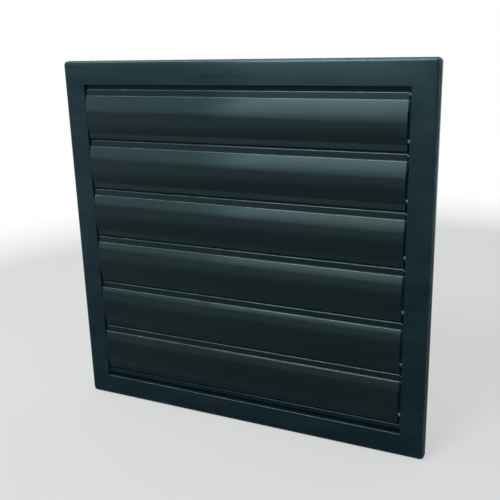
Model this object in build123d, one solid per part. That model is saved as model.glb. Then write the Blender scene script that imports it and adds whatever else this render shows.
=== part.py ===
from build123d import *
from math import sqrt
import os

# A square wall grille with six gravity flaps, moulded in dark plastic.
# +X is to the viewer's right, the face looks along -Y and +Z is up. All sizes are in millimetres.
# The origin is the centre of the opening, in the plane of the wall that the face flange rests on.
# A depth is measured back from the front of the face flange, so a negative depth stands proud of it.

# Face flange
frame_side = 350.0
border_width = 22.0
flange_depth = 7.0
plate_wall = 2.2
rim_wall = 2.5
outer_corner_radius = 4.0
outer_edge_radius = 3.0
opening_edge_radius = 0.6
brace_wall = 1.5
brace_count = 5
brace_setback = 1.0

# Duct collar behind the flange
collar_wall = 3.0
collar_reach = 25.0
collar_corner_radius = 2.0
swing_clearance = 0.8
fixing_hole_diameter = 4.5
fixing_hole_setback = 10.0
fixing_hole_spacing = 150.0

# Flap section, from the top down
flap_count = 6
top_gap = 4.5
sill_line = 8.4
upstand_height = 5.6
upstand_wall = 1.3
nose_height = 5.7
nose_recess = 1.8
shoulder_step = 1.4
lip_height = 5.2
lip_recess = 0.8
lip_gap = 2.2
body_bulge = 3.0
flap_wall = 1.6
seal_clearance = 1.2
nose_edge_radius = 0.7
shoulder_radius = 0.8
small_edge_radius = 0.4

# Pivots, closed stops and the draught ledges on the jambs
pivot_drop = 2.4
pin_radius = 1.5
pin_clearance = 0.08
pin_engagement = 2.0
boss_wall = 1.6
boss_cover = 0.3
end_gap = 1.7
snap_groove_depth = 1.2
peg_radius = 1.5
peg_rise = 2.5
peg_overlap = 1.4
stop_clearance = 0.3
ledge_clearance = 1.0
ledge_foot_clearance = 0.3

# Webs on the back of each flap
cheek_wall = 2.0
thrust_step = 1.4
gusset_wall = 1.2
gusset_count = 3
web_drop = 15.0

# Sill bar below the lowest flap
sill_strip_height = 4.6
sill_groove_depth = 8.0
sill_wall = 1.8

# Places worked out from the sizes above
front_y = -flange_depth
opening_side = frame_side - 2 * border_width
jamb_x = opening_side / 2
pitch = (opening_side - top_gap - sill_line) / flap_count
flap_length = opening_side - 2 * end_gap
body_height = pitch - nose_height - lip_height - lip_gap
body_top = -nose_height
body_middle = body_top - body_height / 2
body_bottom = body_top - body_height
body_depth = nose_recess - shoulder_step
lip_back = lip_recess + flap_wall
lip_end = body_bottom - lip_height
bow_radius = body_height ** 2 / (8 * body_bulge) + body_bulge / 2
bow_centre_depth = body_depth - body_bulge + bow_radius
nose_back = nose_recess + flap_wall
upstand_front = lip_back + seal_clearance
upstand_back = upstand_front + upstand_wall
boss_radius = pin_radius + boss_wall
pivot_depth = nose_recess + boss_cover + boss_radius
web_back = pivot_depth + boss_radius
stop_height = body_bottom + peg_rise
stop_tip = end_gap + peg_overlap
swing_radius = sqrt((upstand_height + pivot_drop) ** 2 + (pivot_depth - upstand_front) ** 2)
duct_top = jamb_x - top_gap - pivot_drop + swing_radius + swing_clearance
duct_bottom = -jamb_x


def flap_top(number):
    """Height of the nose line of a flap, counted from 0 at the top; past the last flap it is the sill's."""
    return jamb_x - top_gap - number * pitch


def at(depth, height):
    """A point of a section: its place along Y from its depth, and its height."""
    return (front_y + depth, height)


def bow_depth(height, inset):
    """Depth of the flap's curved skin at a height, or of a surface that lies an inset behind it."""
    return bow_centre_depth - sqrt((bow_radius - inset) ** 2 - (height - body_middle) ** 2)


def bow_end(depth, inset):
    """Lower height at which a surface that lies an inset behind the curved skin reaches a depth."""
    return body_middle - sqrt((bow_radius - inset) ** 2 - (bow_centre_depth - depth) ** 2)


def span_box(x_span, y_span, z_span):
    """A box between two values along each axis."""
    spans = (x_span, y_span, z_span)
    middle = [(low + high) / 2 for low, high in spans]
    return Pos(*middle) * Box(*[high - low for low, high in spans])


def bar_along_x(section, length):
    """A section drawn in Y and Z, run along X and centred on the middle of the grille."""
    return extrude(Plane.YZ * section, length / 2, both=True)


def rod_along_x(x_start, x_end, depth, height, radius):
    """A round rod between two places along X."""
    axis_point = ((x_start + x_end) / 2, front_y + depth, height)
    return Pos(*axis_point) * Rot(0, 90, 0) * Cylinder(radius, abs(x_end - x_start))


def rounded(section, points, radius):
    """The section with the corners that lie at the given points rounded off."""
    corners = [section.vertices().sort_by_distance((*point, 0))[0] for point in points]
    return fillet(corners, radius)


def head_points():
    """Front of a nose strip with the upstand behind it, from the nose's lower front corner up and back."""
    return [
        at(nose_recess, 0),
        at(upstand_front, 0),
        at(upstand_front, upstand_height),
        at(upstand_back, upstand_height),
    ]


def flap_section():
    """Closed outline of the flap's wall: upstand, nose strip, shoulder, curved body and hanging lip."""
    back_start = body_top - flap_wall
    back_end = bow_end(lip_back, flap_wall)
    front_bow = ThreePointArc(
        at(body_depth, body_top),
        at(body_depth - body_bulge, body_middle),
        at(body_depth, body_bottom),
    )
    back_bow = ThreePointArc(
        at(lip_back, back_end),
        at(bow_depth(body_middle, flap_wall), body_middle),
        at(bow_depth(back_start, flap_wall), back_start),
    )
    lip = Polyline(
        at(body_depth, body_bottom),
        at(lip_recess, body_bottom),
        at(lip_recess, lip_end),
        at(lip_back, lip_end),
        at(lip_back, back_end),
    )
    head = Polyline(
        at(bow_depth(back_start, flap_wall), back_start),
        at(nose_back, back_start),
        at(nose_back, -upstand_wall),
        at(upstand_back, -upstand_wall),
        *reversed(head_points()),
        at(nose_recess, body_top),
        at(body_depth, body_top),
    )
    section = make_face(front_bow + lip + back_bow + head)
    section = rounded(section, [at(nose_recess, 0)], nose_edge_radius)
    section = rounded(section, [at(body_depth, body_top)], shoulder_radius)
    tips = [at(lip_recess, lip_end), at(lip_back, lip_end), at(upstand_front, upstand_height)]
    return rounded(section, tips, small_edge_radius)


def web_front():
    """Front of a web, from inside the nose strip down to its foot on the curved body."""
    root = nose_recess + flap_wall / 2
    return [
        at(root, -upstand_wall / 2),
        at(root, body_top),
        at(bow_depth(body_top - flap_wall, flap_wall / 2), body_top - flap_wall),
        at(bow_depth(-web_drop, flap_wall / 2), -web_drop),
    ]


def pivot_ring():
    """The round boss that a web has on the pivot line."""
    return Pos(*at(pivot_depth, -pivot_drop)) * Circle(boss_radius)


def gusset():
    """A thin web that braces the nose against the curved body."""
    plate = make_face(Polyline(
        *web_front(),
        at(web_back, -pivot_drop),
        at(upstand_back, -upstand_wall / 2),
        close=True,
    ))
    return bar_along_x(plate + pivot_ring(), gusset_wall)


def cheek():
    """The web at a flap's end: it also closes the gap beside the upstand and behind the curved body."""
    plate = make_face(Polyline(
        *web_front(),
        at(web_back, -web_drop),
        at(web_back, -pivot_drop),
        at(pivot_depth + pin_radius, upstand_height),
        at(upstand_front, upstand_height),
        at(upstand_front, -upstand_wall / 2),
        close=True,
    ))
    return bar_along_x(plate + pivot_ring(), cheek_wall + thrust_step)


def flap():
    """One flap with its nose line at height 0: wall, end cheeks with pins, and gussets between them."""
    part = bar_along_x(flap_section(), flap_length)
    gusset_step = flap_length / (gusset_count + 1)
    for number in range(gusset_count):
        part += Pos(gusset_step * (number + 1) - flap_length / 2, 0, 0) * gusset()
    for side in (-1, 1):
        end_x = side * flap_length / 2
        pin_end = end_x + side * (end_gap + pin_engagement)
        part += Pos(end_x + side * (thrust_step - cheek_wall) / 2, 0, 0) * cheek()
        part += rod_along_x(end_x - side * cheek_wall, pin_end, pivot_depth, -pivot_drop, pin_radius)
    return part


def face_flange():
    """The face plate with its turned-back rim, the opening and the rounded edges; solid at the back."""
    outline = Plane.XZ * RectangleRounded(frame_side, frame_side, outer_corner_radius)
    slab = extrude(outline, flange_depth)
    slab = fillet(slab.faces().sort_by(Axis.Y)[0].edges(), outer_edge_radius)
    slab -= span_box((-jamb_x, jamb_x), (front_y, 0), (-jamb_x, jamb_x))
    opening_edges = slab.faces().sort_by(Axis.Y)[0].inner_wires()[0].edges()
    return fillet(opening_edges, opening_edge_radius)


def collar_block(y_span):
    """The outside of the duct collar, filled, between two places along Y."""
    block = span_box(
        (-jamb_x - collar_wall, jamb_x + collar_wall),
        y_span,
        (duct_bottom - collar_wall, duct_top + collar_wall),
    )
    return fillet(block.edges().filter_by(Axis.Y), collar_corner_radius)


def back_channel():
    """The hollow behind the face plate, between the rim and the collar."""
    inside = frame_side - 2 * rim_wall
    corner = max(outer_corner_radius - rim_wall, 0.5)
    hollow = extrude(Plane.XZ * RectangleRounded(inside, inside, corner), flange_depth - plate_wall)
    return hollow - collar_block((front_y + plate_wall, 0))


def braces():
    """Thin braces across the back channel, evenly spaced along the four sides."""
    step = opening_side / (brace_count + 1)
    places = [step * (number + 1) - jamb_x for number in range(brace_count)]
    y_span = (front_y + plate_wall / 2, -brace_setback)
    rim_inside = frame_side / 2 - rim_wall / 2
    result = []
    for place in places:
        across = (place - brace_wall / 2, place + brace_wall / 2)
        result.append(span_box(across, y_span, (duct_top + collar_wall / 2, rim_inside)))
        result.append(span_box(across, y_span, (-rim_inside, duct_bottom - collar_wall / 2)))
        result.append(span_box((jamb_x + collar_wall / 2, rim_inside), y_span, across))
        result.append(span_box((-rim_inside, -jamb_x - collar_wall / 2), y_span, across))
    return result


def sill_bar():
    """The fixed bar that the lowest lip closes on: nose strip, upstand, and a leg that stands in the duct."""
    line = flap_top(flap_count)
    strip_bottom = -sill_strip_height
    leg_front = sill_groove_depth
    leg_back = leg_front + sill_wall
    section = make_face(Polyline(
        at(nose_recess, strip_bottom),
        *head_points(),
        at(upstand_back, strip_bottom + sill_wall),
        at(leg_back, strip_bottom + sill_wall),
        at(leg_back, duct_bottom - collar_wall / 2 - line),
        at(leg_front, duct_bottom - collar_wall / 2 - line),
        at(leg_front, strip_bottom),
        close=True,
    ))
    section = rounded(section, [at(nose_recess, 0)], nose_edge_radius)
    return Pos(0, 0, line) * bar_along_x(section, opening_side + collar_wall)


def closed_stops():
    """The round pegs on both jambs that the flaps rest against when shut."""
    depth = bow_depth(stop_height, flap_wall + stop_clearance + peg_radius)
    result = []
    for number in range(flap_count):
        for side in (-1, 1):
            root = side * (jamb_x + collar_wall / 2)
            tip = side * (jamb_x - stop_tip)
            result.append(rod_along_x(root, tip, depth, flap_top(number) + stop_height, peg_radius))
    return result


def draught_ledges():
    """Upright ledges on both jambs that close the gap behind the flap ends, between one cheek and the next."""
    y_span = (front_y + upstand_front, front_y + web_back)
    foot = pitch + pivot_drop - swing_radius - ledge_foot_clearance
    result = []
    for number in range(flap_count):
        top = flap_top(number)
        z_span = (top - foot, top - web_drop - ledge_clearance)
        for side in (-1, 1):
            x_span = sorted((side * (jamb_x + collar_wall / 2), side * (jamb_x - stop_tip)))
            result.append(span_box(x_span, y_span, z_span))
    return result


def pivot_sockets():
    """Sockets through both jambs for the flap pins, each with the groove that the pin is pushed in along."""
    radius = pin_radius + pin_clearance
    pivot_y = front_y + pivot_depth
    result = []
    for number in range(flap_count):
        height = flap_top(number) - pivot_drop
        for side in (-1, 1):
            outside = side * (jamb_x + collar_wall)
            groove_x = sorted((side * jamb_x, side * (jamb_x + snap_groove_depth)))
            result.append(rod_along_x(side * jamb_x, outside, pivot_depth, height, radius))
            result.append(span_box(groove_x, (pivot_y, collar_reach), (height - radius, height + radius)))
    return result


def fixing_holes():
    """Two screw holes through each side of the collar, behind the wall's face."""
    depth = flange_depth + collar_reach - fixing_hole_setback
    result = []
    for side in (-1, 1):
        for height in (-fixing_hole_spacing / 2, fixing_hole_spacing / 2):
            outside = side * (jamb_x + collar_wall)
            result.append(rod_along_x(side * jamb_x, outside, depth, height, fixing_hole_diameter / 2))
    return result


def frame():
    """The whole frame moulding: face flange, duct collar, braces, sill, stops and sockets in one piece."""
    part = face_flange() - back_channel()
    part += collar_block((0, collar_reach))
    part -= span_box((-jamb_x, jamb_x), (front_y + plate_wall, collar_reach), (duct_bottom, duct_top))
    part += braces()
    part += sill_bar()
    part += closed_stops()
    part += draught_ledges()
    part -= pivot_sockets()
    part -= fixing_holes()
    return part


def write(shape, name):
    """Write one piece as a single solid."""
    export_step(shape.solid(), f"parts/{name}.step")


os.makedirs("parts", exist_ok=True)
write(frame(), "frame")
blade = flap()
for flap_number in range(flap_count):
    write(Pos(0, 0, flap_top(flap_number)) * blade, f"flap_{flap_number + 1}")
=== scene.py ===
"""A square wall grille with six gravity flaps, in dark moulded plastic, dressed for a plain studio.

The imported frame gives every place. The frame moulding is finished from its own solid, and each flap is swept
again from the flap section by Geometry Nodes, so that its curved skin and thin edges catch the light cleanly.
All lengths are in metres.
"""

import logging
import math
from dataclasses import dataclass
from enum import Enum

import bmesh
import bpy
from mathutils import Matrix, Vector


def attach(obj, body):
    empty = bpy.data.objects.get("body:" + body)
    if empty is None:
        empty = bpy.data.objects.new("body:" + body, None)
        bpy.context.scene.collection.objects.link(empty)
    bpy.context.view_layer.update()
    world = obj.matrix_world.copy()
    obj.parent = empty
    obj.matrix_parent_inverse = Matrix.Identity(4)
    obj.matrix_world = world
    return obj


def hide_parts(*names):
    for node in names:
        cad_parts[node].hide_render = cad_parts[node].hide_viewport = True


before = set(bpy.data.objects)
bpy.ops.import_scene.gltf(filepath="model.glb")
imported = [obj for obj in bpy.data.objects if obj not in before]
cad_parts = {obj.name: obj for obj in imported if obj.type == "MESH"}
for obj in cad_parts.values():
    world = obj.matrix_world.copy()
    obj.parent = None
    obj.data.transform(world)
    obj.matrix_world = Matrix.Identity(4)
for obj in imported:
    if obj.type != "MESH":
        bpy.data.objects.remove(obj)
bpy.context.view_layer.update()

LOG = logging.getLogger("grille")
MM = 0.001
FACE = -0.007  # Y of the flange's front, which depths are counted back from
MERGE = 0.001 * MM  # points closer together than this are one
SUPPORT = 0.12 * MM  # how far outside a rounded corner a point keeps the flat beside it flat
SUPPORT_ROOM = 4  # how many such lengths that flat needs
Point = tuple[float, float]
Place = tuple[float, float, float]
Colour = tuple[float, float, float]
Socket = bpy.types.NodeSocket
Outputs = bpy.types.NodeOutputs
Value = float | Socket
Tree = bpy.types.NodeTree


class Slot(Enum):
    """The record's material slot names; nothing in this script gives a piece one."""

    FRAME = "frame"
    FLAPS = "flaps"


class Side(Enum):
    """The two ends of a flap, as signs along X."""

    LEFT = -1
    RIGHT = 1


class FrameFace(Enum):
    """The kinds of face on the frame moulding, numbered as its material slots are."""

    FACE = 0
    BACK = 1
    LEDGE = 2
    PEG = 3
    SILL = 4


class Sheet:
    """A node tree being wired: adds nodes and joins their sockets."""

    def __init__(self, tree: Tree) -> None:
        """Take a tree and empty it.

        Args:
            tree: The tree to fill.
        """
        self.tree = tree
        self.tree.nodes.clear()

    def node(self, kind: str, values: dict | None = None, **props) -> bpy.types.Node:
        """Add a node.

        Args:
            kind: Blender's name for the node.
            values: Input sockets by name or number, each with a plain value or a socket to join to it.
            props: Settings of the node itself.

        Returns:
            The new node.
        """
        made = self.tree.nodes.new(kind)
        for name, value in props.items():
            setattr(made, name, value)
        for key, value in (values or {}).items():
            self.put(made.inputs[key], value)
        return made

    def output(self, kind: str, values: dict | None = None, **props) -> Socket:
        """Add a node and take its first output."""
        return self.node(kind, values, **props).outputs[0]

    def put(self, target: Socket, value: object) -> None:
        """Join an input to a socket, or set it to a plain value.

        Args:
            target: The input.
            value: The socket or the plain value.
        """
        if isinstance(value, Socket):
            self.tree.links.new(value, target)
        else:
            target.default_value = value

    def joined(self, *parts: Socket) -> Socket:
        """Join meshes into one, in the order given."""
        made = self.node("GeometryNodeJoinGeometry")
        for part in parts:
            self.tree.links.new(part, made.inputs[0])
        return made.outputs[0]

    def split(self, vector: Socket) -> Outputs:
        """Take a vector apart into its X, Y and Z."""
        return self.node("ShaderNodeSeparateXYZ", {0: vector}).outputs

    def vector(self, x: Value = 0.0, y: Value = 0.0, z: Value = 0.0) -> Socket:
        """Make a vector from its X, Y and Z."""
        return self.output("ShaderNodeCombineXYZ", {0: x, 1: y, 2: z})

    def times(self, first: Value, second: Value) -> Socket:
        """Multiply two numbers."""
        return self.math("MULTIPLY", first, second)

    def math(self, operation: str, first: Value, second: Value = 0.0, clamp: bool = False) -> Socket:
        """Join two numbers with one operation.

        Args:
            operation: Blender's name for the operation.
            first: A number or a socket.
            second: A number or a socket.
            clamp: Whether the result is kept between 0 and 1.

        Returns:
            The socket that carries the result.
        """
        kind = "ShaderNodeMath"
        return self.output(kind, {0: first, 1: second}, operation=operation, use_clamp=clamp)

    def vector_math(self, operation: str, first: Socket, second: Socket | Place | None = None) -> Outputs:
        """Join two vectors with one operation.

        Args:
            operation: Blender's name for the operation.
            first: A vector or a socket.
            second: A vector or a socket, where the operation takes one.

        Returns:
            The outputs: the vector and the value.
        """
        values = {0: first} if second is None else {0: first, 1: second}
        return self.node("ShaderNodeVectorMath", values, operation=operation).outputs

    def band(self, value: Socket, low: float, high: float, start: float = 0.0, end: float = 1.0) -> Socket:
        """Turn a range of a number smoothly into another range, and hold it outside.

        Args:
            value: The socket to read.
            low: Where the change begins.
            high: Where the change ends.
            start: The result at low.
            end: The result at high.

        Returns:
            The socket that carries the result.
        """
        values = {0: value, 1: low, 2: high, 3: start, 4: end}
        return self.output("ShaderNodeMapRange", values, interpolation_type="SMOOTHSTEP")

    def noise(self, place: Socket, scale: float, detail: float = 2.0, roughness: float = 0.5) -> Socket:
        """Read cloudy noise at a place.

        Args:
            place: The socket that carries the place.
            scale: Clouds in a metre.
            detail: Finer layers.
            roughness: How strong the finer layers are.

        Returns:
            The noise, from 0 to 1.
        """
        values = {"Vector": place, "Scale": scale, "Detail": detail, "Roughness": roughness}
        return self.node("ShaderNodeTexNoise", values).outputs["Fac"]

    def tint(self, share: Value, first: Socket | Colour, second: Socket | Colour) -> Socket:
        """Blend two colours.

        Args:
            share: How much of the second, as a number or a socket.
            first: A colour or a socket.
            second: A colour or a socket.

        Returns:
            The blended colour.
        """
        made = self.node("ShaderNodeMix", {0: share}, data_type="RGBA")
        for key, value in ((6, first), (7, second)):
            self.put(made.inputs[key], value if isinstance(value, Socket) else (*value, 1.0))
        return made.outputs[2]


@dataclass(frozen=True)
class MouldedPlastic:
    """Dark semi-gloss plastic with a fine moulded grain, hazy wiping marks and dust specks, and lighter
    rounded edges and up-facing ledges that are partly wear and dust and partly painted highlight.
    """

    name: str
    base: Colour
    haze: Colour
    # lighter colour of the rounded edges: partly rubbed wear, partly a painted highlight
    wear_highlight_colour: Colour = (0.33, 0.42, 0.435)
    # lighter colour of up-facing ledges and edges: partly settled dust, partly a painted highlight
    dust_highlight_colour: Colour = (0.45, 0.54, 0.54)
    speck: Colour = (0.48, 0.57, 0.57)
    glint: Colour = (0.64, 0.95, 1.0)
    gloss_level: float = 0.375
    roughness: float = 0.2
    haze_share: float = 0.35
    haze_scale: float = 16.0
    haze_clear: float = 0.03
    haze_rough: float = 0.09
    streak_share: float = 0.25
    # where and how strongly the rounded edges get the painted highlight and wear, and how much rougher they
    # are
    wear_highlight_share: float = 0.5
    wear_highlight_from: float = 0.82
    wear_highlight_full: float = 0.73
    wear_highlight_beyond: float = 0.0
    wear_highlight_rough: float = 0.12
    # where up-facing ledges near the front get the painted highlight and dust, and how strongly
    dust_highlight_share: float = 0.6
    dust_highlight_depth: float = 2.7 * MM
    dust_highlight_fade: float = 0.2 * MM
    dust_rough: float = 0.4
    speck_kinds: tuple[Point, Point] = ((75.0, 0.28 * MM), (210.0, 0.12 * MM))
    speck_core: float = 0.6
    speck_share: float = 0.75
    bare_cells: float = 0.93
    grain_depth: float = 0.012 * MM
    coarse_grain: float = 0.8
    ior: float = 1.5

    def facing(self, sheet: Sheet) -> Socket:
        """The surface's direction, in the piece's own frame."""
        normal = sheet.node("ShaderNodeNewGeometry").outputs["Normal"]
        spaces = {"vector_type": "NORMAL", "convert_from": "WORLD", "convert_to": "OBJECT"}
        return sheet.output("ShaderNodeVectorTransform", {0: normal}, **spaces)

    def rounding(self, sheet: Sheet, facing: Socket) -> Socket:
        """How far the surface is turned away from the piece's flat faces.

        Args:
            sheet: The tree to add to.
            facing: The surface's direction.

        Returns:
            0 on the flat and gently curved faces, and 1 on the middle of the rounded edges.
        """
        parts = sheet.split(sheet.vector_math("ABSOLUTE", facing)[0])
        largest = sheet.math("MAXIMUM", sheet.math("MAXIMUM", parts[0], parts[1]), parts[2])
        return sheet.band(largest, self.wear_highlight_from, self.wear_highlight_full)

    def outer_edges(self, sheet: Sheet, place: Socket) -> Socket:
        """Where the rounded edges get their painted highlight and wear: beyond a distance from the middle,
        across or up.

        Args:
            sheet: The tree to add to.
            place: The point on the piece.

        Returns:
            1 beyond the distance and 0 within it.
        """
        parts = sheet.split(sheet.vector_math("ABSOLUTE", place)[0])
        furthest = sheet.math("MAXIMUM", parts[0], parts[2])
        return sheet.math("GREATER_THAN", furthest, self.wear_highlight_beyond)

    def dust_highlight(self, sheet: Sheet, place: Socket, facing: Socket) -> Socket:
        """A lighter film on the narrow ledges and edges that look up, near the front: partly settled dust,
        partly a painted highlight of the light from above.

        Args:
            sheet: The tree to add to.
            place: The point on the piece.
            facing: The surface's direction.

        Returns:
            The share of the film, from 0 to 1.
        """
        up = sheet.band(sheet.split(facing)[2], low=0.45, high=0.9)
        back = FACE + self.dust_highlight_depth
        near = sheet.band(sheet.split(place)[1], low=back, high=back - self.dust_highlight_fade)
        patchy = sheet.noise(place, scale=60.0, detail=3.0, roughness=0.6)
        patchy = sheet.band(patchy, low=0.35, high=0.65, start=0.55)
        return sheet.times(sheet.times(up, near), patchy)

    def haze_cloud(self, sheet: Sheet, place: Socket) -> Socket:
        """Hazy marks left by hands and wiping, long across the piece.

        Args:
            sheet: The tree to add to.
            place: The point on the piece.

        Returns:
            The share of haze, from 0 to 1.
        """
        drawn_out = sheet.output("ShaderNodeMapping", {"Vector": place, "Scale": (0.45, 1.0, 1.3)})
        clouds = sheet.noise(drawn_out, self.haze_scale, detail=4.0, roughness=0.55)
        streaks = sheet.output("ShaderNodeMapping", {"Vector": place, "Scale": (0.1, 1.0, 1.0)})
        streaks = sheet.noise(streaks, scale=210.0, roughness=0.6)
        clouds = sheet.times(clouds, 1.0 - self.streak_share)
        joined = sheet.math("ADD", clouds, sheet.times(streaks, self.streak_share))
        return sheet.band(joined, low=0.38, high=0.68)

    def specks(self, sheet: Sheet, place: Socket, scale: float, size: float) -> Socket:
        """Scattered specks of dust, one in some of the cells of a fine mesh.

        Args:
            sheet: The tree to add to.
            place: The point on the piece.
            scale: Cells in a metre.
            size: The specks' radius.

        Returns:
            1 on a speck and 0 elsewhere.
        """
        cells = sheet.node("ShaderNodeTexVoronoi", {"Vector": place, "Scale": scale, "Randomness": 1.0})
        near = sheet.band(cells.outputs["Distance"], low=size * scale, high=size * scale * self.speck_core)
        chosen = sheet.output("ShaderNodeSeparateColor", {0: cells.outputs["Color"]})
        return sheet.times(near, sheet.math("GREATER_THAN", chosen, self.bare_cells))

    def material(self) -> bpy.types.Material:
        """Build the finish as a material.

        Returns:
            The new material.
        """
        made = bpy.data.materials.new(self.name)
        made.use_nodes = True
        made.diffuse_color = (*self.base, 1.0)
        sheet = Sheet(made.node_tree)
        place = sheet.node("ShaderNodeTexCoord").outputs["Object"]
        haze = self.haze_cloud(sheet, place)
        facing = self.facing(sheet)
        rounding = self.rounding(sheet, facing)
        # up-facing ledges near the front lightened: a painted highlight, partly dust
        dust_highlight = sheet.times(self.dust_highlight(sheet, place, facing), self.dust_highlight_share)
        # rounded edges lightened in patches: a painted highlight, partly rubbed wear
        wear_highlight_patches = sheet.noise(place, scale=240.0, detail=3.0, roughness=0.65)
        wear_highlight_mask = sheet.band(wear_highlight_patches, low=0.36, high=0.62, start=0.45)
        wear_highlight_mask = sheet.times(sheet.times(rounding, wear_highlight_mask), self.wear_highlight_share)
        if self.wear_highlight_beyond:
            wear_highlight_mask = sheet.times(wear_highlight_mask, self.outer_edges(sheet, place))
        specks = sheet.math("MAXIMUM", *(self.specks(sheet, place, *kind) for kind in self.speck_kinds))
        colour = sheet.tint(sheet.times(haze, self.haze_share), self.base, self.haze)
        colour = sheet.tint(wear_highlight_mask, colour, self.wear_highlight_colour)
        colour = sheet.tint(dust_highlight, colour, self.dust_highlight_colour)
        colour = sheet.tint(sheet.times(specks, self.speck_share), colour, self.speck)
        dust = sheet.times(sheet.math("MAXIMUM", specks, dust_highlight), self.dust_rough)
        rough = sheet.math("ADD", sheet.times(haze, self.haze_rough), self.roughness - self.haze_clear)
        rough = sheet.math("ADD", rough, sheet.times(wear_highlight_mask, self.wear_highlight_rough), clamp=True)
        rough = sheet.math("ADD", rough, dust, clamp=True)
        coarse = sheet.times(sheet.noise(place, scale=700.0), self.coarse_grain)
        grain = sheet.math("ADD", sheet.noise(place, scale=2600.0, roughness=0.6), coarse)
        relief = {"Strength": 1.0, "Distance": self.grain_depth, "Height": grain}
        bump = sheet.output("ShaderNodeBump", relief)
        shader = sheet.output(
            "ShaderNodeBsdfPrincipled",
            {
                "Base Color": colour,
                "Roughness": rough,
                "Normal": bump,
                "IOR": self.ior,
                "Specular IOR Level": self.gloss_level,
                "Specular Tint": (*self.glint, 1.0),
            },
        )
        sheet.node("ShaderNodeOutputMaterial", {"Surface": shader})
        return made


# Rough settings with a faint blue glint for recessed, rear and inside faces; the finishes that take them paint
# shade into the flaps' recesses and light into the frame's gaps and grooves
DULL = {"glint": (0.3, 0.8, 1.0), "roughness": 0.5, "wear_highlight_share": 0.1, "dust_highlight_share": 0.0}


@dataclass(frozen=True)
class Corner:
    """A corner of a section: its depth back from the face, its height, and the radius that rounds it."""

    depth: float
    height: float
    radius: float = 0.0


def rounded_outline(corners: list[Corner], steps: int = 6) -> list[Point]:
    """Round the corners of a closed outline.

    Args:
        corners: The corners in order.
        steps: Straight runs in each rounded corner.

    Returns:
        The points of the outline as depth and height.
    """
    points: list[Point] = []
    for index, corner in enumerate(corners):
        here = Vector((corner.depth, corner.height))
        if not corner.radius:
            points.append(tuple(here))
            continue
        before = corners[index - 1]
        after = corners[(index + 1) % len(corners)]
        into = Vector((before.depth, before.height)) - here
        out = Vector((after.depth, after.height)) - here
        half = into.angle(out) / 2
        reach = corner.radius / math.tan(half)
        centre = here + (into.normalized() + out.normalized()).normalized() * corner.radius / math.sin(half)
        start = here + into.normalized() * reach - centre
        end = here + out.normalized() * reach - centre
        support = min(SUPPORT, corner.radius / 2)
        if into.length > reach + SUPPORT_ROOM * support:
            points.append(tuple(centre + start + into.normalized() * support))
        turn = start.angle_signed(end)
        for step in range(steps + 1):
            angle = -turn * step / steps
            spun = Vector((
                start.x * math.cos(angle) - start.y * math.sin(angle),
                start.x * math.sin(angle) + start.y * math.cos(angle),
            ))
            points.append(tuple(centre + spun))
        if out.length > reach + SUPPORT_ROOM * support:
            points.append(tuple(centre + end + out.normalized() * support))
    return points


def new_object(name: str, data: bpy.types.ID) -> bpy.types.Object:
    """Make an object and put it in the scene."""
    made = bpy.data.objects.new(name, data)
    bpy.context.scene.collection.objects.link(made)
    return made


def section_curve(name: str, points: list[Point]) -> bpy.types.Object:
    """Make a closed outline that a sweep along X can read.

    Args:
        name: The outline's name.
        points: Its points as depth and height.

    Returns:
        A curve whose own X is towards the viewer and whose own Y is downwards, as the sweep lays it.
    """
    curve = bpy.data.curves.new(name, "CURVE")
    curve.dimensions = "3D"
    spline = curve.splines.new("POLY")
    spline.points.add(len(points) - 1)
    for target, (depth, height) in zip(spline.points, points):
        target.co = (-(FACE + depth), -height, 0.0, 1.0)
    spline.use_cyclic_u = True
    return new_object(name, curve)


def plain_mesh(source: bpy.types.Object, name: str) -> bpy.types.Object:
    """Turn an object with live modifiers into a plain mesh, and remove the source.

    Args:
        source: The object to bake.
        name: The new piece's name.

    Returns:
        The new piece at the origin.
    """
    baked = bpy.data.meshes.new_from_object(source.evaluated_get(bpy.context.evaluated_depsgraph_get()))
    baked.name = name
    bpy.data.objects.remove(source)
    return new_object(name, baked)


def drop_empty_slots(mesh: bpy.types.Mesh) -> None:
    """Keep only the material slots that hold a material, and let each face keep its own.

    Args:
        mesh: The mesh to mend.
    """
    held = list(mesh.materials)
    kept = [material for material in held if material]
    places = [kept.index(held[face.material_index]) for face in mesh.polygons]
    mesh.materials.clear()
    for material in kept:
        mesh.materials.append(material)
    mesh.polygons.foreach_set("material_index", places)


def face_outwards(mesh: bpy.types.Mesh) -> None:
    """Merge a mesh's doubles and turn its faces outwards.

    Args:
        mesh: The mesh to mend.
    """
    work = bmesh.new()
    work.from_mesh(mesh)
    bmesh.ops.remove_doubles(work, verts=work.verts, dist=MERGE)
    bmesh.ops.recalc_face_normals(work, faces=work.faces)
    work.to_mesh(mesh)
    work.free()


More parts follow.
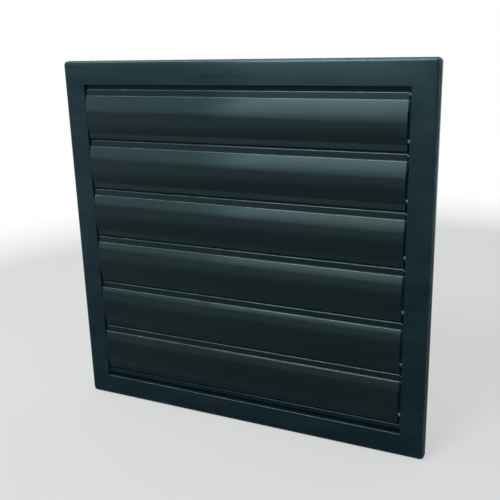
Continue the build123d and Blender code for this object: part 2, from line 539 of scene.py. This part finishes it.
@dataclass
class FlapBank:
    """The six flaps, each a curved blade with a nose strip, an upstand, a hanging lip, webs and two pins."""

    count: int = 6
    top_nose: float = 148.5 * MM
    pitch: float = 48.85 * MM
    length: float = 302.6 * MM
    nose_recess: float = 1.8 * MM
    nose_height: float = 5.7 * MM
    shoulder_depth: float = 0.4 * MM
    body_height: float = 35.75 * MM
    body_bulge: float = 3.0 * MM
    lip_height: float = 5.2 * MM
    lip_recess: float = 0.8 * MM
    wall: float = 1.6 * MM
    upstand_front: float = 3.6 * MM
    upstand_wall: float = 1.3 * MM
    upstand_height: float = 5.6 * MM
    nose_radius: float = 0.7 * MM
    shoulder_radius: float = 0.8 * MM
    edge_radius: float = 0.4 * MM
    fine_radius: float = 0.2 * MM
    pivot_depth: float = 5.2 * MM
    pivot_drop: float = 2.4 * MM
    boss_radius: float = 3.1 * MM
    pin_radius: float = 1.5 * MM
    pin_reach: float = 3.7 * MM
    pin_chamfer: float = 0.3 * MM
    web_drop: float = 15.0 * MM
    cheek_wall: float = 2.0 * MM
    thrust_step: float = 1.4 * MM
    gusset_wall: float = 1.2 * MM
    gusset_count: int = 3
    waver: float = 0.05 * MM
    bow_steps: int = 28
    ring_steps: int = 18
    cheek_ring_end: float = 42.0
    length_steps: int = 60
    back_from: float = 3.5 * MM
    seek_step: float = 0.02 * MM
    skin_mark: str = "polished"
    skin_backward: float = 0.3
    ring_fore: float = 2.62 * MM
    ring_half: float = 1.6 * MM
    pin_sides: int = 32
    first_seed: int = 3
    waver_stretch: Place = (1.0, 0.0, 0.35)
    waver_scale: float = 14.0
    sharp_above: float = math.radians(32)
    # the flaps' rounded edges and up-facing ledges get a painted highlight, partly wear and dust
    finish: MouldedPlastic = MouldedPlastic(
        "flap_plastic", base=(0.0018, 0.0050, 0.0051), haze=(0.0054, 0.0099, 0.0100),
        roughness=0.15, wear_highlight_share=0.18, dust_highlight_share=0.22, dust_highlight_depth=3.5 * MM,
    )
    # duller, bluer finish on the blade's recessed and rear faces: painted shade that darkens the recess above
    # each nose
    back_painted_shading: MouldedPlastic = MouldedPlastic(
        "flap_back_painted_shade_plastic", base=(0.0018, 0.0060, 0.0087), haze=(0.0045, 0.0105, 0.0135),
        gloss_level=0.12, **DULL,
    )

    @property
    def bow_radius(self) -> float:
        """Radius of the curved skin."""
        return self.body_height**2 / (8 * self.body_bulge) + self.body_bulge / 2

    def bow_depth(self, height: float, inset: float = 0.0) -> float:
        """Depth of the curved skin, or of the surface an inset behind it, at a height below the nose line."""
        centre = self.shoulder_depth - self.body_bulge + self.bow_radius
        offset = height + self.nose_height + self.body_height / 2
        return centre - math.sqrt((self.bow_radius - inset) ** 2 - offset**2)

    def bow(self, start: float, end: float, inset: float = 0.0) -> list[Corner]:
        """Points of the curved skin between two heights, without its ends.

        Args:
            start: Height of the first end.
            end: Height of the other end.
            inset: How far behind the outer skin.

        Returns:
            The points in order.
        """
        heights = [start + (end - start) * step / self.bow_steps for step in range(1, self.bow_steps)]
        return [Corner(self.bow_depth(height, inset), height) for height in heights]

    def blade_outline(self) -> list[Point]:
        """Outline of the blade's wall.

        Returns:
            The closed outline as depth and height, with the nose line at height 0.
        """
        top = -self.nose_height
        bottom = top - self.body_height
        back_top = top - self.wall
        lip_back = self.lip_recess + self.wall
        lip_end = bottom - self.lip_height
        back_bottom = bottom
        while self.bow_depth(back_bottom, self.wall) > lip_back:
            back_bottom += self.seek_step
        upstand_back = self.upstand_front + self.upstand_wall
        corners = [Corner(self.shoulder_depth, top, self.shoulder_radius)]
        corners += self.bow(top, bottom)
        corners += [
            Corner(self.shoulder_depth, bottom, self.fine_radius / 2),
            Corner(self.lip_recess, bottom),
            Corner(self.lip_recess, lip_end, self.edge_radius),
            Corner(lip_back, lip_end, self.edge_radius),
            Corner(lip_back, back_bottom),
        ]
        corners += self.bow(back_bottom, back_top, self.wall)
        corners += [
            Corner(self.bow_depth(back_top, self.wall), back_top),
            Corner(self.nose_recess + self.wall, back_top, self.fine_radius),
            Corner(self.nose_recess + self.wall, -self.upstand_wall),
            Corner(upstand_back, -self.upstand_wall),
            Corner(upstand_back, self.upstand_height, self.edge_radius),
            Corner(self.upstand_front, self.upstand_height, self.edge_radius),
            Corner(self.upstand_front, 0.0),
            Corner(self.nose_recess, 0.0, self.nose_radius),
            Corner(self.nose_recess, top),
        ]
        return rounded_outline(corners)

    def web_outline(self, closes_gap: bool) -> list[Point]:
        """Outline of a web with its ring round the pivot line.

        Args:
            closes_gap: Whether it is a cheek, which reaches beside the upstand and down behind the skin.

        Returns:
            The closed outline as depth and height.
        """
        root = self.nose_recess + self.wall / 2
        under = -self.nose_height - self.wall
        inside = -self.upstand_wall / 2
        corners = [Corner(root, inside)]
        if closes_gap:
            corners += self.ring_front(root)
        corners += [
            Corner(root, -self.nose_height),
            Corner(self.bow_depth(under, self.wall / 2), under),
            Corner(self.bow_depth(-self.web_drop, self.wall / 2), -self.web_drop, self.fine_radius),
        ]
        if closes_gap:
            corners.append(Corner(self.pivot_depth + self.boss_radius, -self.web_drop, self.edge_radius))
            last = math.radians(self.cheek_ring_end)
        else:
            last = math.acos((self.upstand_front + self.upstand_wall - self.pivot_depth) / self.boss_radius)
        for step in range(self.ring_steps + 1):
            angle = last * step / self.ring_steps
            depth = self.pivot_depth + self.boss_radius * math.cos(angle)
            corners.append(Corner(depth, -self.pivot_drop + self.boss_radius * math.sin(angle)))
        if closes_gap:
            corners += [
                Corner(self.pivot_depth + self.pin_radius, self.upstand_height, self.fine_radius),
                Corner(self.upstand_front, self.upstand_height, self.fine_radius),
                Corner(self.upstand_front, inside),
            ]
        else:
            middle = self.upstand_front + self.upstand_wall / 2
            corners += [Corner(middle, corners[-1].height), Corner(middle, inside)]
        return rounded_outline(corners)

    def ring_front(self, root: float) -> list[Corner]:
        """Front of the pivot ring where it stands proud of a cheek, from the top down.

        Args:
            root: Depth of the cheek's front.

        Returns:
            The points in order.
        """
        half = math.acos((self.pivot_depth - root) / self.boss_radius)
        angles = [half - 2 * half * step / self.ring_steps for step in range(self.ring_steps + 1)]
        return [
            Corner(
                self.pivot_depth - self.boss_radius * math.cos(angle),
                -self.pivot_drop + self.boss_radius * math.sin(angle),
            )
            for angle in angles
        ]

    def sweep_group(self) -> Tree:
        """Tree that runs a section along X, centred on the middle.

        Returns:
            The group, with the section, the length and the number of steps as inputs.
        """
        tree = bpy.data.node_groups.new("section_sweep", "GeometryNodeTree")
        for name, kind in (("Section", "Object"), ("Length", "Float"), ("Steps", "Int")):
            tree.interface.new_socket(name=name, in_out="INPUT", socket_type=f"NodeSocket{kind}")
        tree.interface.new_socket(name="Mesh", in_out="OUTPUT", socket_type="NodeSocketGeometry")
        sheet = Sheet(tree)
        given = sheet.node("NodeGroupInput").outputs
        half = sheet.times(given["Length"], 0.5)
        ends = {"Start": sheet.vector(sheet.times(half, -1.0)), "End": sheet.vector(half)}
        line = sheet.output("GeometryNodeCurvePrimitiveLine", ends)
        count = sheet.math("ADD", given["Steps"], 1.0)
        path = sheet.output("GeometryNodeResampleCurve", {"Curve": line, "Count": count})
        values = {"Object": given["Section"]}
        section = sheet.node("GeometryNodeObjectInfo", values, transform_space="ORIGINAL").outputs["Geometry"]
        values = {"Curve": path, "Profile Curve": section, "Fill Caps": True}
        sheet.node("NodeGroupOutput", {0: sheet.output("GeometryNodeCurveToMesh", values)})
        return tree

    def flap_tree(self, sweep: Tree) -> Tree:
        """Tree that makes one flap: blade, gussets, cheeks and pins.

        Args:
            sweep: The sweep group.

        Returns:
            The tree, with its sizes as named inputs.
        """
        tree = bpy.data.node_groups.new("gravity_flap", "GeometryNodeTree")
        kinds = {
            "Geometry": "Geometry",
            "Blade Section": "Object", "Gusset Section": "Object", "Cheek Section": "Object",
            "Length": "Float", "Length Steps": "Int", "Gussets": "Int", "Gusset Wall": "Float",
            "Cheek Wall": "Float", "Thrust Step": "Float",
            "Pin Radius": "Float", "Pin Reach": "Float", "Pin Chamfer": "Float", "Pivot": "Vector",
            "Nose Height": "Float", "Waver": "Float", "Seed": "Int", "Back From": "Float",
            "Front Material": "Material", "Back Material": "Material",
        }
        for name, kind in kinds.items():
            tree.interface.new_socket(name=name, in_out="INPUT", socket_type=f"NodeSocket{kind}")
        tree.interface.new_socket(name="Geometry", in_out="OUTPUT", socket_type="NodeSocketGeometry")
        sheet = Sheet(tree)
        given = sheet.node("NodeGroupInput").outputs
        length = given["Length"]

        blade = self.swept(sheet, sweep, given["Blade Section"], length, given["Length Steps"])
        blade = self.wavered(sheet, blade, given)
        blade = self.polished(sheet, blade, self.front_skin(sheet, given))
        half = sheet.times(length, 0.5)
        gap = sheet.math("DIVIDE", length, sheet.math("ADD", given["Gussets"], 1.0))
        first = sheet.vector(sheet.math("SUBTRACT", gap, half))
        step = sheet.vector(gap)
        places = {"Count": given["Gussets"], "Start Location": first, "Offset": step}
        gusset_line = sheet.output("GeometryNodeMeshLine", places, mode="OFFSET")
        gusset = self.swept(sheet, sweep, given["Gusset Section"], given["Gusset Wall"], 1)
        gussets = sheet.output("GeometryNodeInstanceOnPoints", {"Points": gusset_line, "Instance": gusset})
        middle = sheet.times(sheet.math("SUBTRACT", given["Thrust Step"], given["Cheek Wall"]), 0.5)
        away = sheet.math("ADD", half, middle)
        values = {"Start Location": sheet.vector(sheet.times(away, -1.0)), "Offset": sheet.vector(away)}
        ends = sheet.output("GeometryNodeMeshLine", {"Count": 2, **values}, mode="END_POINTS")
        thick = sheet.math("ADD", given["Cheek Wall"], given["Thrust Step"])
        cheek = self.swept(sheet, sweep, given["Cheek Section"], thick, 1)
        cheek = self.polished(sheet, cheek, self.ring_skin(sheet, given))
        cheeks = sheet.output("GeometryNodeInstanceOnPoints", {"Points": ends, "Instance": cheek})
        pins = self.pins(sheet, given, half)
        joined = sheet.joined(blade, gussets, cheeks, pins)
        lift = sheet.vector(z=given["Nose Height"])
        placed = sheet.output("GeometryNodeTransform", {"Geometry": joined, "Translation": lift})
        real = sheet.output("GeometryNodeRealizeInstances", {0: placed})
        # the faces not picked as polished, the recessed and rear ones, take the back material, which paints
        # shade into the recess
        back = sheet.output("GeometryNodeSetMaterial", {"Geometry": real, "Material": given["Back Material"]})
        skin = sheet.output("GeometryNodeInputNamedAttribute", {"Name": self.skin_mark}, data_type="BOOLEAN")
        values = {"Geometry": back, "Selection": skin, "Material": given["Front Material"]}
        sheet.node("NodeGroupOutput", {0: sheet.output("GeometryNodeSetMaterial", values)})
        return tree

    def polished(self, sheet: Sheet, mesh: Socket, choice: Socket) -> Socket:
        """Mark the faces of a mesh that are polished.

        Args:
            sheet: The tree to add to.
            mesh: The mesh.
            choice: Which faces are.

        Returns:
            The marked mesh.
        """
        values = {"Geometry": mesh, "Name": self.skin_mark, "Value": choice}
        return sheet.output("GeometryNodeStoreNamedAttribute", values, data_type="BOOLEAN", domain="FACE")

    def front_skin(self, sheet: Sheet, given: Outputs) -> Socket:
        """Pick the blade's polished faces: those near its front that don't look backwards.

        Args:
            sheet: The tree to add to.
            given: The group's inputs.

        Returns:
            Whether a face is one of them.
        """
        place = sheet.split(sheet.output("GeometryNodeInputPosition"))
        facing = sheet.split(sheet.output("GeometryNodeInputNormal"))
        near = sheet.math("LESS_THAN", place[1], given["Back From"])
        return sheet.times(near, sheet.math("LESS_THAN", facing[1], self.skin_backward))

    def ring_skin(self, sheet: Sheet, given: Outputs) -> Socket:
        """Pick the front of a cheek's pivot ring.

        Args:
            sheet: The tree to add to.
            given: The group's inputs.

        Returns:
            Whether a face is one of it.
        """
        place = sheet.split(sheet.output("GeometryNodeInputPosition"))
        pivot = sheet.split(given["Pivot"])
        fore = sheet.math("LESS_THAN", place[1], sheet.math("SUBTRACT", pivot[1], self.ring_fore))
        level = sheet.math("ABSOLUTE", sheet.math("SUBTRACT", place[2], pivot[2]))
        return sheet.times(fore, sheet.math("LESS_THAN", level, self.ring_half))

    def swept(self, sheet: Sheet, sweep: Tree, section: Socket, run: Value, steps: Value) -> Socket:
        """Run a section along X.

        Args:
            sheet: The tree to add to.
            sweep: The sweep group.
            section: The socket that carries the section.
            run: How long, as a number or a socket.
            steps: Straight runs along it, as a number or a socket.

        Returns:
            The swept mesh, centred on the middle with the section's height 0 on it.
        """
        values = {"Section": section, "Length": run, "Steps": steps}
        return sheet.output("GeometryNodeGroup", values, node_tree=sweep)

    def wavered(self, sheet: Sheet, blade: Socket, given: Outputs) -> Socket:
        """Give the blade the faint waver of a long thin moulding, inwards only.

        Args:
            sheet: The tree to add to.
            blade: The swept blade.
            given: The group's inputs.

        Returns:
            The wavered blade.
        """
        place = sheet.output("GeometryNodeInputPosition")
        drawn = sheet.vector_math("MULTIPLY", place, self.waver_stretch)[0]
        values = {"Vector": drawn, "W": given["Seed"], "Scale": self.waver_scale, "Detail": 1.0}
        cloud = sheet.node("ShaderNodeTexNoise", values, noise_dimensions="4D").outputs["Fac"]
        push = sheet.vector(y=sheet.times(cloud, given["Waver"]))
        return sheet.output("GeometryNodeSetPosition", {"Geometry": blade, "Offset": push})

    def pins(self, sheet: Sheet, given: Outputs, half: Socket) -> Socket:
        """The two pivot pins with their chamfered tips.

        Args:
            sheet: The tree to add to.
            given: The group's inputs.
            half: Half the blade's length.

        Returns:
            The pins in place.
        """
        radius = given["Pin Radius"]
        chamfer = given["Pin Chamfer"]
        run = sheet.math("SUBTRACT", given["Pin Reach"], chamfer)
        run = sheet.math("ADD", run, given["Cheek Wall"])
        sides = {"Vertices": self.pin_sides, "Radius Bottom": radius}
        shank = sheet.output("GeometryNodeMeshCone", {**sides, "Radius Top": radius, "Depth": run})
        narrow = sheet.math("SUBTRACT", radius, chamfer)
        tip = sheet.output("GeometryNodeMeshCone", {**sides, "Radius Top": narrow, "Depth": chamfer})
        lift = sheet.vector(z=run)
        tip = sheet.output("GeometryNodeTransform", {"Geometry": tip, "Translation": lift})
        pin = sheet.joined(shank, tip)
        root = sheet.math("SUBTRACT", half, given["Cheek Wall"])
        pair = []
        for side in Side:
            across = sheet.vector(sheet.times(root, float(side.value)))
            place = sheet.vector_math("ADD", across, given["Pivot"])[0]
            turn = (0.0, side.value * math.pi / 2, 0.0)
            values = {"Geometry": pin, "Translation": place, "Rotation": turn}
            pair.append(sheet.output("GeometryNodeTransform", values))
        return sheet.joined(*pair)

    def build(self) -> None:
        """Make the six flaps and put each on its own body."""
        blade = section_curve("blade_section", self.blade_outline())
        gusset = section_curve("gusset_section", self.web_outline(closes_gap=False))
        cheek = section_curve("cheek_section", self.web_outline(closes_gap=True))
        tree = self.flap_tree(self.sweep_group())
        front, back = self.finish.material(), self.back_painted_shading.material()
        for number in range(self.count):
            name = f"flap_{number + 1}"
            source = new_object(f"{name}_source", bpy.data.meshes.new(f"{name}_source"))
            modifier = source.modifiers.new("flap", "NODES")
            modifier.node_group = tree
            values = {
                "Blade Section": blade, "Gusset Section": gusset, "Cheek Section": cheek,
                "Length": self.length, "Length Steps": self.length_steps,
                "Gussets": self.gusset_count, "Gusset Wall": self.gusset_wall,
                "Cheek Wall": self.cheek_wall, "Thrust Step": self.thrust_step,
                "Pin Radius": self.pin_radius, "Pin Reach": self.pin_reach, "Pin Chamfer": self.pin_chamfer,
                "Pivot": (0.0, FACE + self.pivot_depth, -self.pivot_drop),
                "Nose Height": self.top_nose - number * self.pitch, "Waver": self.waver,
                "Seed": self.first_seed + number, "Back From": FACE + self.back_from,
                "Front Material": front, "Back Material": back,
            }
            for item in tree.interface.items_tree:
                if item.in_out == "INPUT" and item.name in values:
                    modifier[item.identifier] = values[item.name]
            made = plain_mesh(source, f"{name}_blade")
            drop_empty_slots(made.data)
            face_outwards(made.data)
            for face in made.data.polygons:
                face.use_smooth = True
            made.data.set_sharp_from_angle(angle=self.sharp_above)
            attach(made, name)
            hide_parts(name)
            LOG.info("%s: %d faces", made.name, len(made.data.polygons))
        for section in (blade, gusset, cheek):
            bpy.data.objects.remove(section)


@dataclass
class FrameMoulding:
    """The frame: face flange, duct collar, sill, stops and sockets, with every edge softened a little."""

    flat_within: float = math.radians(0.3)
    edge_softening: float = 0.18 * MM
    softening_steps: int = 2
    softened_above: float = math.radians(38)
    face_depth: float = 2.0 * MM
    peg_depth: float = 3.2 * MM
    ledge_depth: float = 3.6 * MM
    stop_inside: float = 149.0 * MM
    sill_top: float = -144.5 * MM
    opening_half: float = 153.3 * MM
    backward: float = 0.5
    sideways: float = 0.1
    square_on: float = 0.99
    ledge_play: float = 0.1 * MM
    # the frame's rounded outer edges get a painted highlight, partly wear, and its up-facing front edges one
    # that is partly dust
    finish: MouldedPlastic = MouldedPlastic(
        "frame_plastic", base=(0.0017, 0.0072, 0.0108), haze=(0.0075, 0.0158, 0.0195),
        glint=(0.54, 0.91, 0.94), haze_share=0.5, haze_scale=45.0,
        wear_highlight_share=0.1, wear_highlight_from=0.93, wear_highlight_full=0.84, wear_highlight_beyond=165.0 * MM,
        dust_highlight_share=0.25, dust_highlight_depth=1.0 * MM,
    )
    # the jamb ledges seen through the flaps' end gaps are made far lighter than the moulding: painted light in
    # the shaded gaps
    ledge_painted_light: MouldedPlastic = MouldedPlastic(
        "ledge_painted_light_plastic", base=(0.018, 0.054, 0.075), haze=(0.024, 0.063, 0.084),
        gloss_level=0.135, **DULL,
    )
    # the stop pegs are made pale and glossy: a painted highlight where they would catch the light
    peg_painted_glint: MouldedPlastic = MouldedPlastic(
        "peg_painted_glint_plastic", base=(0.230, 0.350, 0.380), haze=(0.260, 0.380, 0.400),
        gloss_level=0.75, roughness=0.3, wear_highlight_share=0.1, dust_highlight_share=0.0,
    )
    sill_finish: MouldedPlastic = MouldedPlastic(
        "sill_plastic", base=(0.0018, 0.0050, 0.0051), haze=(0.0054, 0.0099, 0.0100),
        gloss_level=0.3, wear_highlight_share=0.0, dust_highlight_share=0.0,
    )
    # lighter finish on the frame's back and inside faces: painted light that lifts the shaded groove, jambs
    # and gaps
    back_painted_shading: MouldedPlastic = MouldedPlastic(
        "frame_back_painted_light_plastic", base=(0.0045, 0.0158, 0.0225), haze=(0.0075, 0.0203, 0.0270),
        gloss_level=0.135, **DULL,
    )

    def build(self, node: bpy.types.Object) -> None:
        """Finish the frame from its solid and put it on its own body.

        Args:
            node: The CAD node of the frame.
        """
        source = new_object("frame_source", node.data.copy())
        self.merge_faces(source.data)
        bevel = source.modifiers.new("soft_edges", "BEVEL")
        bevel.width = self.edge_softening
        bevel.segments = self.softening_steps
        bevel.limit_method = "ANGLE"
        bevel.angle_limit = self.softened_above
        bevel.use_clamp_overlap = True
        bevel.harden_normals = True
        bevel.miter_outer = "MITER_ARC"
        made = plain_mesh(source, "frame_moulding")
        kinds = [face.material_index for face in made.data.polygons]
        made.data.materials.clear()
        for finish in (self.finish, self.back_painted_shading, self.ledge_painted_light, self.peg_painted_glint, self.sill_finish):
            made.data.materials.append(finish.material())
        made.data.polygons.foreach_set("material_index", kinds)
        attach(made, "frame")
        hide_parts("frame")
        LOG.info("%s: %d faces", made.name, len(made.data.polygons))

    def merge_faces(self, mesh: bpy.types.Mesh) -> None:
        """Join the loose triangles of a copied solid and melt the seams of its flat faces.

        Args:
            mesh: The copy to clean.
        """
        work = bmesh.new()
        work.from_mesh(mesh)
        bmesh.ops.remove_doubles(work, verts=work.verts, dist=MERGE)
        bmesh.ops.dissolve_limit(work, angle_limit=self.flat_within, verts=work.verts, edges=work.edges)
        for face in work.faces:
            face.smooth = True
            face.material_index = self.kind(face).value
        work.to_mesh(mesh)
        work.free()
        mesh.set_sharp_from_angle(angle=self.softened_above)

    def kind(self, face: bmesh.types.BMFace) -> FrameFace:
        """Tell what kind of face one is, from its place and direction.

        Args:
            face: A face of the cleaned moulding.

        Returns:
            Its kind: the polished face, the dull back and inside, or a small form in the opening.
        """
        centre = face.calc_center_bounds()
        depth = centre.y - FACE
        if face.normal.y > self.backward:
            return FrameFace.BACK
        if max(abs(centre.x), abs(centre.z)) > self.opening_half:
            return FrameFace.FACE
        if abs(centre.x) < self.stop_inside:
            if centre.z < self.sill_top and self.face_depth / 2 < depth < self.ledge_depth:
                return FrameFace.SILL
        elif abs(face.normal.x) < self.sideways:
            if face.normal.y < -self.square_on and abs(depth - self.ledge_depth) < self.ledge_play:
                return FrameFace.LEDGE
            if max(abs(face.normal.y), abs(face.normal.z)) < self.square_on and depth < self.peg_depth:
                return FrameFace.PEG
        return FrameFace.BACK if depth > self.face_depth else FrameFace.FACE


@dataclass(frozen=True)
class Panel:
    """A flat soft light between two opposite corners, hung upright or level."""

    name: str
    low: Place
    high: Place
    radiance: float
    colour: Colour
    aim: Place = (0.0, 1.0, 0.0)

    def hang(self) -> None:
        """Add the light to the scene, with the power that gives its surface its radiance."""
        low, high, facing = Vector(self.low), Vector(self.high), Vector(self.aim).normalized()
        across = high - low
        if abs(facing.z) < max(abs(facing.x), abs(facing.y)):
            width, tall = math.hypot(across.x, across.y), abs(across.z)
        else:
            width, tall = abs(across.x), abs(across.y)
        light = bpy.data.lights.new(self.name, "AREA")
        light.shape = "RECTANGLE"
        light.size = width
        light.size_y = tall
        light.energy = self.radiance * math.pi * width * tall
        light.color = self.colour
        made = new_object(self.name, light)
        made.location = (low + high) / 2
        made.rotation_mode = "QUATERNION"
        made.rotation_quaternion = facing.to_track_quat("-Z", "Y")
        LOG.info("%s: %.2f x %.2f m", self.name, width, tall)


@dataclass
class Studio:
    """The floor, the soft lights and the camera."""

    floor_height: float = -0.175
    floor_reach: float = 14.0
    floor_squares: int = 8
    floor_colour: Colour = (0.33, 0.33, 0.33)
    mirrored_floor: Colour = (0.215, 0.22, 0.238)
    mirrored_pale: Colour = (0.88, 0.92, 1.0)
    mirrored_glow: float = 0.66
    floor_boost: float = 0.49
    fade_start: float = 0.42
    fade_end: float = 1.0
    fade_centre: Point = (0.12, 0.0)  # on the floor
    horizon: Point = (-0.05, 0.3)
    room_levels: Point = (0.6, 0.733)
    room_colour: Colour = (0.95, 1.0, 1.0)
    strips_left: Point = (-0.42, -0.9)
    strips_right: Point = (0.03, -0.9)
    strips_colour: Colour = (0.92, 1.0, 1.0)
    front_strips: tuple[tuple[float, float, float], ...] = (  # bottom, top and radiance
        (0.03, 0.125, 1.2), (0.125, 0.22, 1.87), (0.22, 0.36, 2.67), (0.36, 0.55, 3.47), (0.55, 0.9, 4.67)
    )
    panels: tuple[Panel, ...] = (
        Panel("crest_strip", (-0.56, -0.9, 0.9), (0.03, -0.9, 1.5), 20.0, (0.92, 0.98, 1.0)),
        Panel("side_panel", (-2.1, -1.35, 0.1), (-0.6, -1.52, 1.3), 0.93, (0.68, 0.94, 1.0), (0.12, 1, 0)),
        Panel("top_strip", (-1.1, -0.2, 1.3), (0.4, 0.1, 1.3), 4.0, (0.95, 1.0, 1.0), (0, 0, -1)),
    )
    camera_place: Place = (0.26344, -0.59231, 0.21692)
    camera_turn: Place = (73.6247, 2.4111, 25.7641)
    focal_share: float = 734.91 / 500
    shift: Point = (0.08475, -0.04948)
    sensor_width: float = 36.0
    clip: Point = (0.01, 60.0)

    def floor(self) -> None:
        """Lay the plain floor, which fades to white far off and isn't part of the object."""
        work, squares = bmesh.new(), self.floor_squares
        bmesh.ops.create_grid(work, x_segments=squares, y_segments=squares, size=self.floor_reach)
        bmesh.ops.translate(work, verts=work.verts, vec=(0, 0, self.floor_height))
        mesh = bpy.data.meshes.new("floor")
        work.to_mesh(mesh)
        work.free()
        made = new_object("floor", mesh)
        material = bpy.data.materials.new("floor_paper")
        material.use_nodes = True
        sheet = Sheet(material.node_tree)
        rays = sheet.node("ShaderNodeLightPath").outputs
        looked_at = sheet.math("MAXIMUM", rays["Is Camera Ray"], rays["Is Transmission Ray"])
        mirrored = sheet.times(rays["Is Glossy Ray"], self.mirrored_glow)
        seen = sheet.math("MAXIMUM", looked_at, mirrored)
        place = sheet.node("ShaderNodeTexCoord").outputs["Object"]
        centre = (*self.fade_centre, self.floor_height)
        away = sheet.vector_math("DISTANCE", place, centre)[1]
        away = sheet.band(away, self.fade_start, self.fade_end)
        share = sheet.math("MAXIMUM", away, sheet.times(looked_at, self.floor_boost))
        share = sheet.times(share, seen)
        colour = sheet.tint(rays["Is Glossy Ray"], self.floor_colour, self.mirrored_floor)
        paper = sheet.output("ShaderNodeBsdfDiffuse", {"Color": colour})
        bright = sheet.tint(rays["Is Glossy Ray"], (1.0, 1.0, 1.0), self.mirrored_pale)
        pale = sheet.output("ShaderNodeEmission", {"Color": bright, "Strength": 1.0})
        mixed = sheet.output("ShaderNodeMixShader", {0: share, 1: paper, 2: pale})
        sheet.node("ShaderNodeOutputMaterial", {"Surface": mixed})
        mesh.materials.append(material)

    def world(self) -> None:
        """Light the room softly, a little more above the horizon, and show it plain white to the camera."""
        world = bpy.data.worlds.new("soft_room")
        bpy.context.scene.world = world
        world.use_nodes = True
        sheet = Sheet(world.node_tree)
        direction = sheet.node("ShaderNodeTexCoord").outputs["Generated"]
        height = sheet.split(direction)[2]
        level = sheet.band(height, *self.horizon, *self.room_levels)
        room = sheet.output("ShaderNodeBackground", {"Color": (*self.room_colour, 1.0), "Strength": level})
        white = sheet.output("ShaderNodeBackground", {"Color": (1.0, 1.0, 1.0, 1.0), "Strength": 1.0})
        rays = sheet.node("ShaderNodeLightPath").outputs
        mixed = sheet.output("ShaderNodeMixShader", {0: rays["Is Camera Ray"], 1: room, 2: white})
        sheet.node("ShaderNodeOutputWorld", {"Surface": mixed})

    def lights(self) -> None:
        """Hang strips in front that grow brighter upwards, then the crest, side and top panels."""
        for number, (low, high, radiance) in enumerate(self.front_strips):
            corners = ((*self.strips_left, low), (*self.strips_right, high))
            Panel(f"front_strip_{number + 1}", *corners, radiance, self.strips_colour).hang()
        for panel in self.panels:
            panel.hang()

    def camera(self) -> None:
        """Place the camera where the photograph was taken from."""
        data = bpy.data.cameras.new("camera")
        data.sensor_width = self.sensor_width
        data.lens = self.focal_share * data.sensor_width
        data.shift_x, data.shift_y = self.shift
        data.clip_start, data.clip_end = self.clip
        made = new_object("camera", data)
        made.location = self.camera_place
        made.rotation_euler = [math.radians(turn) for turn in self.camera_turn]
        bpy.context.scene.camera = made

    def build(self) -> None:
        """Set the whole studio up."""
        self.floor()
        self.world()
        self.lights()
        self.camera()
        bpy.context.scene.view_settings.view_transform = "Standard"


def main() -> None:
    """Build the grille and the studio, in order."""
    logging.basicConfig(level=logging.INFO, format="%(name)s: %(message)s")
    FrameMoulding().build(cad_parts["frame"])
    FlapBank().build()
    Studio().build()


if __name__ == "__main__":
    main()
